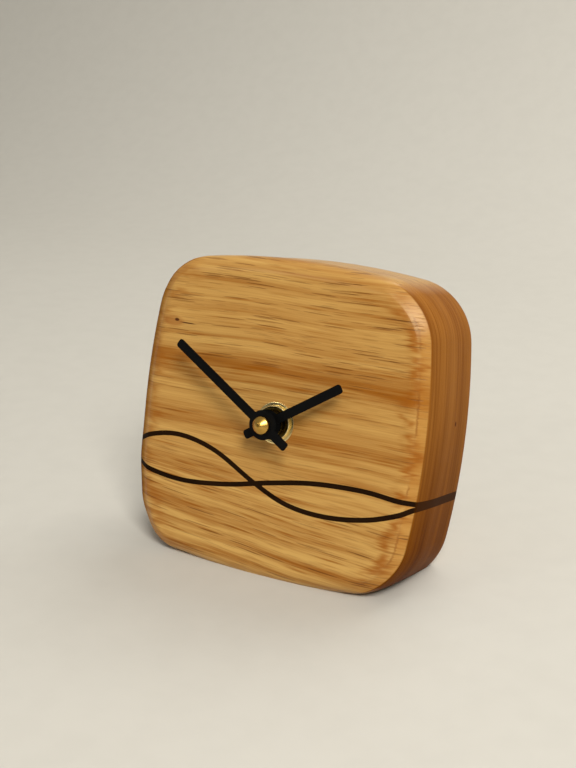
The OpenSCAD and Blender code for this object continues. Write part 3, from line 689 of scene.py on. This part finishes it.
# %% Helpers for patterns in the solid


def stretched_noise(tree, place, frequency, detail=2.0, roughness=0.5):
    """Noise that varies with its own frequency, per millimetre, along x, y and z."""
    scaled = vector_node(tree, "MULTIPLY", place, frequency)
    inputs = {"Vector": scaled, "Scale": 1.0, "Detail": detail, "Roughness": roughness}
    return node(tree, "TexNoise", inputs).outputs["Fac"]


def pore_field(tree, place, frequency, size, core=0.85):
    """One long ellipsoid in every cell of a stretched lattice: 1 in its core, easing to 0 at its edge."""
    scaled = vector_node(tree, "MULTIPLY", place, frequency)
    nearest = node(tree, "TexVoronoi", {"Vector": scaled, "Scale": 1.0}).outputs["Distance"]
    return step_up(tree, nearest, size * 1.08, size * core)


def spot(tree, place, middle, stretch, size):
    """1 inside an ellipsoid round a point, easing to 0 at twice its size. Stretch divides the three axes."""
    away = vector_node(tree, "DIVIDE", vector_node(tree, "SUBTRACT", place, middle), stretch)
    return step_up(tree, vector_node(tree, "LENGTH", away), size * 2, size)


# %% Helpers for groups


def new_group(name, inputs, outputs):
    """An empty shader group with named sockets. Returns its tree, its input node and its output node."""
    tree = bpy.data.node_groups.new(name, "ShaderNodeTree")
    for direction, sockets in (("INPUT", inputs), ("OUTPUT", outputs)):
        for label, kind in sockets.items():
            tree.interface.new_socket(label, in_out=direction, socket_type="NodeSocket" + kind)
    return tree, tree.nodes.new("NodeGroupInput"), tree.nodes.new("NodeGroupOutput")


def use_group(tree, name, inputs):
    """Outputs of a group put into a tree."""
    return node(tree, "Group", inputs, node_tree=bpy.data.node_groups[name]).outputs


# %% [markdown]
# ## Wood figure
# The fibres of the oak run from left to right with a slow sway, and low on the face they fall a little to the
# right. Along them lie broad streaks, fine fibres, soft flecks and dark dashes, which are pores cut
# lengthwise. Two deeper bands cross the face. A picture of wood would not fit round the edges, so the figure
# is a field in the solid: noises that are long along x and short across it. Over the depth of the front bevel
# it hardly changes, so that every line of the face runs on to the crisp corner. Cut ends show other lines,
# one for each year, which run up the sides.

# %% Sizes of the figure
# How often each pattern repeats per millimetre along x, y and z
SWAY, STREAKS, FIBRES = (0.013, 0.016, 0.01), (0.014, 0.36, 0.36), (0.022, 2.1, 2.1)
FLECKS, LONG_PORES, SHORT_PORES = (0.05, 0.75, 0.75), (0.045, 1.2, 1.2), (0.1, 1.9, 1.9)
END_LINES, END_BANDS = (0.05, 0.02, 2.0), (0.05, 0.012, 0.3)
SWAY_MM, LOW_SLOPE, RAGGED_MM = 5.0, 0.085, 9.0
BEVEL_DEPTH, BEVEL_CHANGE = 4.0, 0.1
# Height over the face's middle, half width and depth of the deeper bands
AMBER_BANDS = ((21.5, 6.5, 0.17), (3.0, 6.0, 0.1))
# Middle, stretch along x, y and z, and size: of a knot on the face, its crack and a knot on the right side
KNOTS = (
    ((-39.3, 26.5, 0.0), (1.5, 0.9, 3.0), 0.36), ((-35.2, 25.9, 0.0), (6.0, 0.42, 3.0), 0.3),
    ((49.6, 6.5, -21.2), (2.0, 1.3, 0.8), 0.4))
print("bands", len(AMBER_BANDS), "knots", len(KNOTS))

# %% Group: wood figure, the swaying grain
tree, given, result = new_group("Wood figure", {"Place": "Vector"}, {
    label: "Float" for label in ("Tone", "Pores", "Knots", "Ends", "Height")})
place = given.outputs["Place"]
parts = node(tree, "SeparateXYZ", {0: place}).outputs
slope = times(tree, step_up(tree, parts["Y"], -4.0, -36.0), LOW_SLOPE, parts["X"])
sway = plus_times(tree, slope, stretched_noise(tree, place, SWAY, 1.0), SWAY_MM)
height_up = math_node(tree, "ADD", parts["Y"], sway)
behind = math_node(tree, "MINIMUM", math_node(tree, "ADD", parts["Z"], BEVEL_DEPTH), 0.0)
through = plus_times(tree, times(tree, behind, 1 - BEVEL_CHANGE), parts["Z"], BEVEL_CHANGE)
swayed = node(tree, "CombineXYZ", {"X": parts["X"], "Y": height_up, "Z": through}).outputs[0]
upper, lower = step_up(tree, height_up, 8.0, 24.0), step_up(tree, height_up, -12.0, -26.0)
print("swaying grain nodes", len(tree.nodes))

# %% Group: wood figure, light and dark along the grain
streaks = stretched_noise(tree, swayed, STREAKS, 4.0, 0.55)
fibres = stretched_noise(tree, swayed, FIBRES, 2.0, 0.6)
tone = shifted(tree, 0.0, streaks, plus_times(tree, 0.55, lower, 0.55))
tone = shifted(tree, tone, fibres, 0.28)
ragged = plus_times(tree, height_up, streaks, RAGGED_MM)
for middle, half, depth in AMBER_BANDS:
    tone = plus_times(tree, tone, bar_across(tree, ragged, middle, half), depth)
flecks = pore_field(tree, swayed, FLECKS, 0.36, 0.1)
tone = plus_times(tree, tone, flecks, plus_times(tree, 0.1, lower, 0.1))
tone = step_up(tree, tone, -0.21, 0.29)
print("tone nodes", len(tree.nodes))

# %% Group: wood figure, pores, knots and cut ends
busy = plus_times(tree, 0.5, math_node(tree, "MAXIMUM", upper, lower), 0.5)
early = plus_times(tree, 0.45, step_up(tree, streaks, 0.36, 0.6), 0.55)
long_pores = pore_field(tree, swayed, LONG_PORES, 0.25)
pores = plus_times(tree, long_pores, pore_field(tree, swayed, SHORT_PORES, 0.28), 0.5)
pores = times(tree, pores, early, busy)
knots = 0.0
for middle, stretch, size in KNOTS:
    knots = math_node(tree, "MAXIMUM", knots, spot(tree, place, middle, stretch, size))
lines = stretched_noise(tree, place, END_LINES, 3.0, 0.6)
bands = stretched_noise(tree, place, END_BANDS, 2.0, 0.5)
ends = step_up(tree, plus_times(tree, times(tree, bands, 0.45), lines, 0.55), 0.3, 0.7)
height = plus_times(tree, times(tree, fibres, 0.3), pores, -1.0)
wire(tree, result, Tone=tone, Pores=pores, Knots=knots, Ends=ends, Height=height)
print("wood figure nodes", len(tree.nodes))

# %% [markdown]
# ## Fine skin
# Paint, moulded plastic and rubber all show a fine unevenness up close: dust, orange peel or the texture of a
# mould. One group gives it at any size, as a speckle for the gloss and as a height.

# %% Group: fine skin
tree, given, result = new_group(
    "Fine skin", {"Place": "Vector", "Fineness": "Float"}, {"Speckle": "Float", "Height": "Float"})
inputs = {"Vector": given.outputs["Place"], "Scale": given.outputs["Fineness"], "Detail": 3.0}
grains = node(tree, "TexNoise", inputs).outputs["Fac"]
clouds = stretched_noise(tree, given.outputs["Place"], (0.11, 0.11, 0.11), 2.0)
wire(tree, result, Speckle=step_up(tree, clouds, 0.3, 0.75), Height=grains)
print("fine skin nodes", len(tree.nodes))

# %% [markdown]
# ## Turned metal
# A turning tool leaves fine rings round the axis. They stretch reflections across them, so a turned disc
# shows bright rays, not a round highlight. The group gives the rings as a tone that varies with the distance
# from the axis, and that distance itself, which tells a rim from a face.

# %% Group: turned lines
tree, given, result = new_group("Turned lines", {"Place": "Vector"}, {"Lines": "Float", "Out": "Float"})
flat = vector_node(tree, "MULTIPLY", given.outputs["Place"], (1.0, 1.0, 0.0))
out = vector_node(tree, "LENGTH", flat)
along = node(tree, "SeparateXYZ", {0: given.outputs["Place"]}).outputs["Z"]
turned_place = node(tree, "CombineXYZ", {"X": out, "Y": along}).outputs[0]
wire(tree, result, Lines=stretched_noise(tree, turned_place, (9.0, 9.0, 1.0), 3.0, 0.7), Out=out)
print("turned lines nodes", len(tree.nodes))

# %% [markdown]
# ## Start of a finish
# Every finish starts alike: a point of the clock, in metres, is turned and scaled into the face's frame, so
# that all patterns can be given in millimetres.

# %% Start of a finish


def new_material(name):
    """A material with its tree, its shader and the face's coordinates in millimetres."""
    material = bpy.data.materials.new(name)
    material.use_nodes = True
    tree = material.node_tree
    shader = tree.nodes["Principled BSDF"]
    metres = node(tree, "TexCoord").outputs["Object"]
    lean_back = (QUARTER - LEAN, 0, 0)
    inputs = {"Vector": metres, "Location": FACE_MIDDLE, "Rotation": lean_back, "Scale": (MM,) * 3}
    place = node(tree, "Mapping", inputs, vector_type="TEXTURE").outputs[0]
    return material, tree, shader, place


def bumped(tree, height, depth_mm, strength=1.0):
    """A normal from a height between 0 and 1 that stands for a depth in millimetres."""
    inputs = {"Height": height, "Distance": depth_mm * MM, "Strength": strength}
    return node(tree, "Bump", inputs).outputs[0]


def attribute(tree, label):
    """A number stored at the vertices."""
    return node(tree, "Attribute", attribute_name=label).outputs["Fac"]


# %% [markdown]
# ## Oak: the face
# The board is oiled. Its long fibres are golden, and the late wood is a deeper amber. The figure's tone mixes
# the two colours, and everything else is laid over that mix, from the largest form to the smallest.

# %% Oak: the face
OAK_LIGHT, OAK_AMBER = linear(210, 166, 92), linear(149, 84, 2)
oak, tree, shader, place = new_material("oiled oak")
figure = use_group(tree, "Wood figure", {"Place": place})
parts = node(tree, "SeparateXYZ", {0: place}).outputs
turned, cut_ends, inside = (attribute(tree, label) for label in ("turned", "cut_ends", "inside"))
colour = blend_colours(tree, figure["Tone"], OAK_LIGHT, OAK_AMBER)
print("face nodes", len(tree.nodes))

# %% [markdown]
# ## Oak: the worn edge
# Sandpaper across the fibres opens some more than others, and the open ones drink more oil. So the facet is a
# little browner, and amber tongues reach in from it where noises move its border. A thin dark line on the
# right, where the facet starts, is painted shade in the kink between two facets. The left edge is darker in
# places, partly scorched and partly painted shade where its bevel faces away from the light. Each has a mask
# of its own.

# %% Oak: the worn edge
FACET_OAK, TONGUE_OAK = linear(180, 118, 40), linear(154, 86, 8)
# Painted shade for the ridge line, and the left edge's colour: partly scorch marks, partly painted shade
RIDGE_SHADE_OAK, SCORCHED_AND_SHADED_OAK = linear(136, 74, 10), linear(86, 46, 14)
# In mm inside the corner: where the facet fades in, then middle and half width of the tongues and the ridge
FACET_FADES, TONGUES_AT, RIDGE_AT = (3.3, 2.5), (4.8, 3.4), (3.0, 0.5)
TONGUE_MM, BLOTCH_MM, RIDGE_MM = 9.0, 12.0, 1.2

blotches = stretched_noise(tree, place, (0.03, 0.13, 0.02), 2.0, 0.6)
tongues = stretched_noise(tree, place, (0.05, 1.1, 0.05), 3.0, 0.6)
patches = stretched_noise(tree, place, (0.09, 0.24, 0.02), 2.0, 0.6)
on_right = step_up(tree, parts["X"], -20.0, 20.0)
facet = times(tree, step_up(tree, inside, *FACET_FADES), cut_ends)
colour = blend_colours(tree, times(tree, facet, 0.5), colour, FACET_OAK)
border = shifted(tree, shifted(tree, inside, tongues, TONGUE_MM), blotches, BLOTCH_MM)
amber = times(tree, bar_across(tree, border, *TONGUES_AT), cut_ends, step_up(tree, patches, 0.36, 0.6))
amber = times(tree, amber, plus_times(tree, 0.55, on_right, 0.35))
colour = blend_colours(tree, amber, colour, TONGUE_OAK)
# A thin dark line where the facet starts, on the right side only: painted shade in the kink between the
# facets
ridge_shade = bar_across(tree, shifted(tree, inside, tongues, RIDGE_MM), *RIDGE_AT)
ridge_shade = times(tree, ridge_shade, cut_ends, step_up(tree, blotches, 0.62, 0.42), on_right)
colour = blend_colours(tree, times(tree, ridge_shade, 0.6), colour, RIDGE_SHADE_OAK)
# Left edge darker in places: partly scorched, partly painted shade where the bevel faces away from the light
scorched_and_shaded = times(tree, step_up(tree, parts["X"], -40.0, -49.0), step_up(tree, turned, 0.5, 1.0), blotches)
colour = blend_colours(tree, scorched_and_shaded, colour, SCORCHED_AND_SHADED_OAK)
print("edge nodes", len(tree.nodes))

# %% [markdown]
# ## Oak: sides, pores and gloss
# The cut ends are brown with fine lines, and painted darker towards the foot as shade. Pores are dark dashes
# on the face, and too small to see on the cut ends. A warm patch surrounds the small knot. The oil gives the
# long fibres a soft, warm sheen, and soaks into the cut ends without one.

# %% Oak: sides, pores and knots
END_LIGHT, END_BROWN = linear(162, 106, 45), linear(124, 71, 22)
# Cut-end colours low on the sides, darker as painted shade towards the foot
FOOT_SHADE_PALE, FOOT_SHADE_BROWN = linear(120, 66, 10), linear(88, 44, 5)
PORE_OAK, HALO_OAK, KNOT_OAK = linear(112, 64, 8), linear(146, 74, 10), linear(78, 32, 4)
# Middle, stretch along x, y and z, and size of the warm patch round the knot
HALO = ((-40.5, 26.0, 0.0), (5.0, 2.2, 5.0), 0.5)
PORE_DEPTH = 0.72

ends = blend_colours(tree, figure["Ends"], END_LIGHT, END_BROWN)
# Lower down, the cut ends blend into the painted-shade colours by height
ends_in_shade = blend_colours(tree, figure["Ends"], FOOT_SHADE_PALE, FOOT_SHADE_BROWN)
ends = blend_colours(tree, step_up(tree, parts["Y"], 30.0, -40.0), ends, ends_in_shade)
at_side = times(tree, step_up(tree, turned, 0.93, 1.0), cut_ends)
colour = blend_colours(tree, at_side, colour, ends)
pore_share = times(tree, figure["Pores"], plus_times(tree, PORE_DEPTH, at_side, -PORE_DEPTH))
colour = blend_colours(tree, pore_share, colour, PORE_OAK)
colour = blend_colours(tree, times(tree, spot(tree, place, *HALO), tongues), colour, HALO_OAK)
colour = blend_colours(tree, figure["Knots"], colour, KNOT_OAK)
print("side nodes", len(tree.nodes))

# %% Oak: gloss
OIL_ROUGH, OIL_SHEEN, OIL_TINT = 0.34, 0.48, (1.0, 0.88, 0.64, 1.0)
DULL_LOSS = 0.47
PORE_MM = 0.05

rough = plus_times(tree, OIL_ROUGH, times(tree, turned, cut_ends), 0.02)
dull = times(tree, step_up(tree, parts["X"], -38.0, -46.0), step_up(tree, turned, 0.2, 0.8))
dull = math_node(tree, "MAXIMUM", dull, at_side)
sheen = plus_times(tree, OIL_SHEEN, dull, -DULL_LOSS)
wire(tree, shader, Base_Color=colour, Roughness=rough, Specular_IOR_Level=sheen, Specular_Tint=OIL_TINT,
     Normal=bumped(tree, figure["Height"], PORE_MM, 0.6))
print("oak nodes", len(tree.nodes))

# %% [markdown]
# ## Dark strips
# The strips are thin slices of a dark wood, bent into the saw cuts and sanded flush. They are so dark that
# only a faint streak of brown shows, and a warmer brown where their ends come out at the sides.

# %% Dark wood
STRIP_BROWN, STRIP_DARK, STRIP_ENDS = linear(38, 23, 10), linear(24, 13, 5), linear(58, 30, 5)
dark_wood, tree, shader, place = new_material("dark wood")
figure = use_group(tree, "Wood figure", {"Place": place})
colour = blend_colours(tree, figure["Tone"], STRIP_BROWN, STRIP_DARK)
at_side = times(tree, step_up(tree, attribute(tree, "turned"), 0.9, 1.0), attribute(tree, "cut_ends"))
colour = blend_colours(tree, at_side, colour, STRIP_ENDS)
wire(tree, shader, Base_Color=colour, Roughness=0.5, Specular_IOR_Level=0.02,
     Normal=bumped(tree, figure["Height"], 0.02, 0.5))
print("dark wood nodes", len(tree.nodes))

# %% [markdown]
# ## Brass
# Turned brass is bright but not a mirror. Its tangent runs round the axis, which stretches the highlights
# into rays. The rims of the nut and the washer get a painted highlight, and the nut's face gets a painted
# shade for the hands' shadow.

# %% Brass
BRASS_LIGHT, BRASS_DEEP = linear(206, 166, 84), linear(190, 146, 64)
BRASS_RIM_HIGHLIGHT, BRASS_FACE_SHADE = linear(246, 224, 160), linear(112, 96, 50)
# Distances from the axis at which the painted shade on the nut's face starts and the painted highlight on the
# rims begins, in mm
SHADE_STARTS, HIGHLIGHT_STARTS = (2.75, 2.8), (5.1, 5.35)
brass, tree, shader, place = new_material("turned brass")
turning = use_group(tree, "Turned lines", {"Place": place})
skin = use_group(tree, "Fine skin", {"Place": place, "Fineness": 6.0})
colour = blend_colours(tree, turning["Lines"], BRASS_LIGHT, BRASS_DEEP)
# Painted highlight on the rims of the nut and the washer
rim_highlight = step_up(tree, turning["Out"], *HIGHLIGHT_STARTS)
colour = blend_colours(tree, rim_highlight, colour, BRASS_RIM_HIGHLIGHT)
# Painted shade on the nut's face, for the shadow of the hands
face = times(tree, step_up(tree, turning["Out"], *SHADE_STARTS), math_node(tree, "SUBTRACT", 1.0, rim_highlight))
colour = blend_colours(tree, face, colour, BRASS_FACE_SHADE)
rough = plus_times(tree, 0.24, skin["Speckle"], 0.06)
metres = node(tree, "TexCoord").outputs["Object"]
from_middle = vector_node(tree, "SUBTRACT", metres, FACE_MIDDLE)
round_axis = vector_node(tree, "CROSS_PRODUCT", FACE_OUT, from_middle)
wire(tree, shader, Base_Color=colour, Metallic=1.0, Roughness=rough, Anisotropic=0.7, Tangent=round_axis)
print("brass nodes", len(tree.nodes))

# %% [markdown]
# ## Blacks: paint, plastic, rubber and resin
# Four blacks that differ in gloss and skin: satin paint on the hands, moulded plastic on the movement, matt
# rubber between the movement and the wood, and the drop of resin over the chip.

# %% Blacks


def black(name, light, rough, fineness, depth_mm, gloss=0.5):
    """A black with a fine skin: how light, how rough, how fine and deep its grains, and how it mirrors."""
    material, tree, shader, place = new_material(name)
    skin = use_group(tree, "Fine skin", {"Place": place, "Fineness": fineness})
    colour = blend_colours(tree, skin["Speckle"], (light, light, light * 1.05, 1), (light * 1.5,) * 3 + (1,))
    rougher = plus_times(tree, rough, skin["Speckle"], 0.12)
    normal = bumped(tree, skin["Height"], depth_mm, 0.5)
    wire(tree, shader, Base_Color=colour, Roughness=rougher, Specular_IOR_Level=gloss, Normal=normal)
    return material


finishes = {
    "oak": oak, "dark_wood": dark_wood, "brass": brass,
    "black_paint": black("satin black paint", 0.0018, rough=0.5, fineness=5.0, depth_mm=0.01, gloss=0.09),
    "black_plastic": black("moulded black plastic", 0.014, rough=0.42, fineness=7.0, depth_mm=0.03),
    "black_rubber": black("matt rubber", 0.016, rough=0.75, fineness=4.0, depth_mm=0.02),
    "resin": black("black resin", 0.008, rough=0.16, fineness=1.0, depth_mm=0.03),
}
print("finishes so far", len(finishes))

# %% [markdown]
# ## Inside the movement
# White acetal wheels, steel stampings, a copper coil, a green board and a battery sleeve. Most of it hides
# behind the cover, but it is there to be taken out, so each still gets the finish of its own material.

# %% Plain metals and plastics


def plain(name, first, second, rough, metallic=0.0, frequency=(0.8, 0.8, 0.8)):
    """A finish that drifts between two colours along a stretched noise, with the fine skin in its gloss."""
    material, tree, shader, place = new_material(name)
    skin = use_group(tree, "Fine skin", {"Place": place, "Fineness": 5.0})
    colour = blend_colours(tree, stretched_noise(tree, place, frequency, 3.0), first, second)
    rougher = plus_times(tree, rough, skin["Speckle"], 0.1)
    normal = bumped(tree, skin["Height"], 0.01, 0.4)
    wire(tree, shader, Base_Color=colour, Roughness=rougher, Metallic=metallic, Normal=normal)
    return material


finishes.update(
    white_plastic=plain("white acetal", linear(233, 230, 220), linear(222, 218, 206), 0.35),
    steel=plain("bare steel", linear(186, 188, 190), linear(160, 162, 165), 0.28, 1.0, (0.3, 6.0, 6.0)),
    magnet=plain("sintered magnet", linear(96, 96, 98), linear(74, 74, 77), 0.5, 1.0, (4, 4, 4)),
    copper=plain("enamelled copper", linear(196, 112, 66), linear(150, 74, 36), 0.3, 1.0, (9.0, 0.4, 0.4)),
    board=plain("printed board", linear(42, 104, 62), linear(30, 82, 48), 0.35),
    battery_sleeve=plain("battery sleeve", linear(62, 68, 78), linear(52, 58, 68), 0.3, 0.6))
print("finishes", list(finishes))

# %% [markdown]
# ## Every piece gets its finish
# The record gives each piece a slot. The imported pieces get the slot's finish where their plain one was, and
# the new pieces get it as their only material.

# %% Finishes by slot
slot_of = {row["node"]: row["material_slot"] for row in frame["record"]["subparts"]}
for name, piece in nodes.items():
    for holder in piece.material_slots:
        holder.material = finishes[slot_of[name]]
for name, piece in dressed.items():
    piece.data.materials.clear()
    piece.data.materials.append(finishes[slot_of[name]])
print("finished", len(nodes), "nodes and", len(dressed), "new pieces")

# %% [markdown]
# ## Stage
# A pale sheet lies flat under the clock and curves up behind it, so that no corner shows. It is a line of
# points from front to back, drawn out to both sides.

# %% Floor and backdrop
SHEET_HALF, SHEET_FRONT, SHEET_TOP = 2.0, -1.2, 1.6
BEND_AT, BEND_R, BEND_STEPS = 0.35, 0.35, 24
bend = np.linspace(0, QUARTER, BEND_STEPS)
path = np.concatenate([
    [[SHEET_FRONT, 0.0], [BEND_AT, 0.0]],
    np.stack([BEND_AT + BEND_R * np.sin(bend), BEND_R - BEND_R * np.cos(bend)], -1)[1:],
    [[BEND_AT + BEND_R, SHEET_TOP]]])
width = np.array([-SHEET_HALF, SHEET_HALF])
sheet = np.stack(np.broadcast_arrays(width[None, :], path[:, :1], path[:, 1:]), -1)
rows = len(path)
first = 2 * np.arange(rows - 1)[:, None]
sheet_mesh = bpy.data.meshes.new("sheet")
sheet_mesh.from_pydata(sheet.reshape(-1, 3), [], (first + [0, 1, 3, 2]).tolist())
sheet_mesh.polygons.foreach_set("use_smooth", np.ones(rows - 1, bool))
backdrop = add_object("sheet", sheet_mesh)
paper, tree, shader, place = new_material("pale sheet")
skin = use_group(tree, "Fine skin", {"Place": place, "Fineness": 0.5})
colour = blend_colours(tree, skin["Speckle"], linear(204, 201, 192), linear(202, 199, 190))
wire(tree, shader, Base_Color=colour, Roughness=0.7)
sheet_mesh.materials.append(paper)
print("sheet with", rows, "rows")

# %% [markdown]
# ## Light
# A soft key lamp from the upper right, a broad one overhead and behind, and a small weak one from the left
# that puts a spark on the brass. The surround is pale above and behind and darker in front, because a face
# that mirrored a white room all round would look washed out.

# %% Lamps and surround
SKY_STRENGTH = 0.4
SKY_DARK, SKY_PALE = linear(168, 164, 156), linear(246, 243, 236)


def lamp(name, place, aim, size, power, colour):
    """A square soft lamp at a place, aimed at a point."""
    data = bpy.data.lights.new(name, "AREA")
    data.shape = "SQUARE"
    data.size, data.energy, data.color = size, power, colour
    made = add_object(name, data)
    made.location = place
    made.rotation_euler = (Vector(aim) - Vector(place)).to_track_quat("-Z", "Y").to_euler()


lamp("key", (0.62, -0.70, 0.98), (0, 0, 0.05), size=0.46, power=13.8, colour=(1.0, 0.97, 0.92))
lamp("overhead", (0.15, 0.6, 0.75), (0, 0, 0.06), size=0.6, power=5.0, colour=(1.0, 0.98, 0.95))
lamp("spark", (-0.42, -0.65, 0.52), (0, 0, 0.05), size=0.12, power=0.5, colour=(1.0, 0.98, 0.95))
world = bpy.data.worlds.new("surround")
world.use_nodes = True
tree = world.node_tree
sky = tree.nodes["Background"]
look = node(tree, "SeparateXYZ", {0: node(tree, "TexCoord").outputs["Generated"]}).outputs
rise = plus_times(tree, look["Z"], look["Y"], 0.8)
glow = blend_colours(tree, step_up(tree, rise, -0.7, 0.7), SKY_DARK, SKY_PALE)
wire(tree, sky, Color=glow, Strength=SKY_STRENGTH)
scene.world = world
scene.view_settings.view_transform = "Standard"
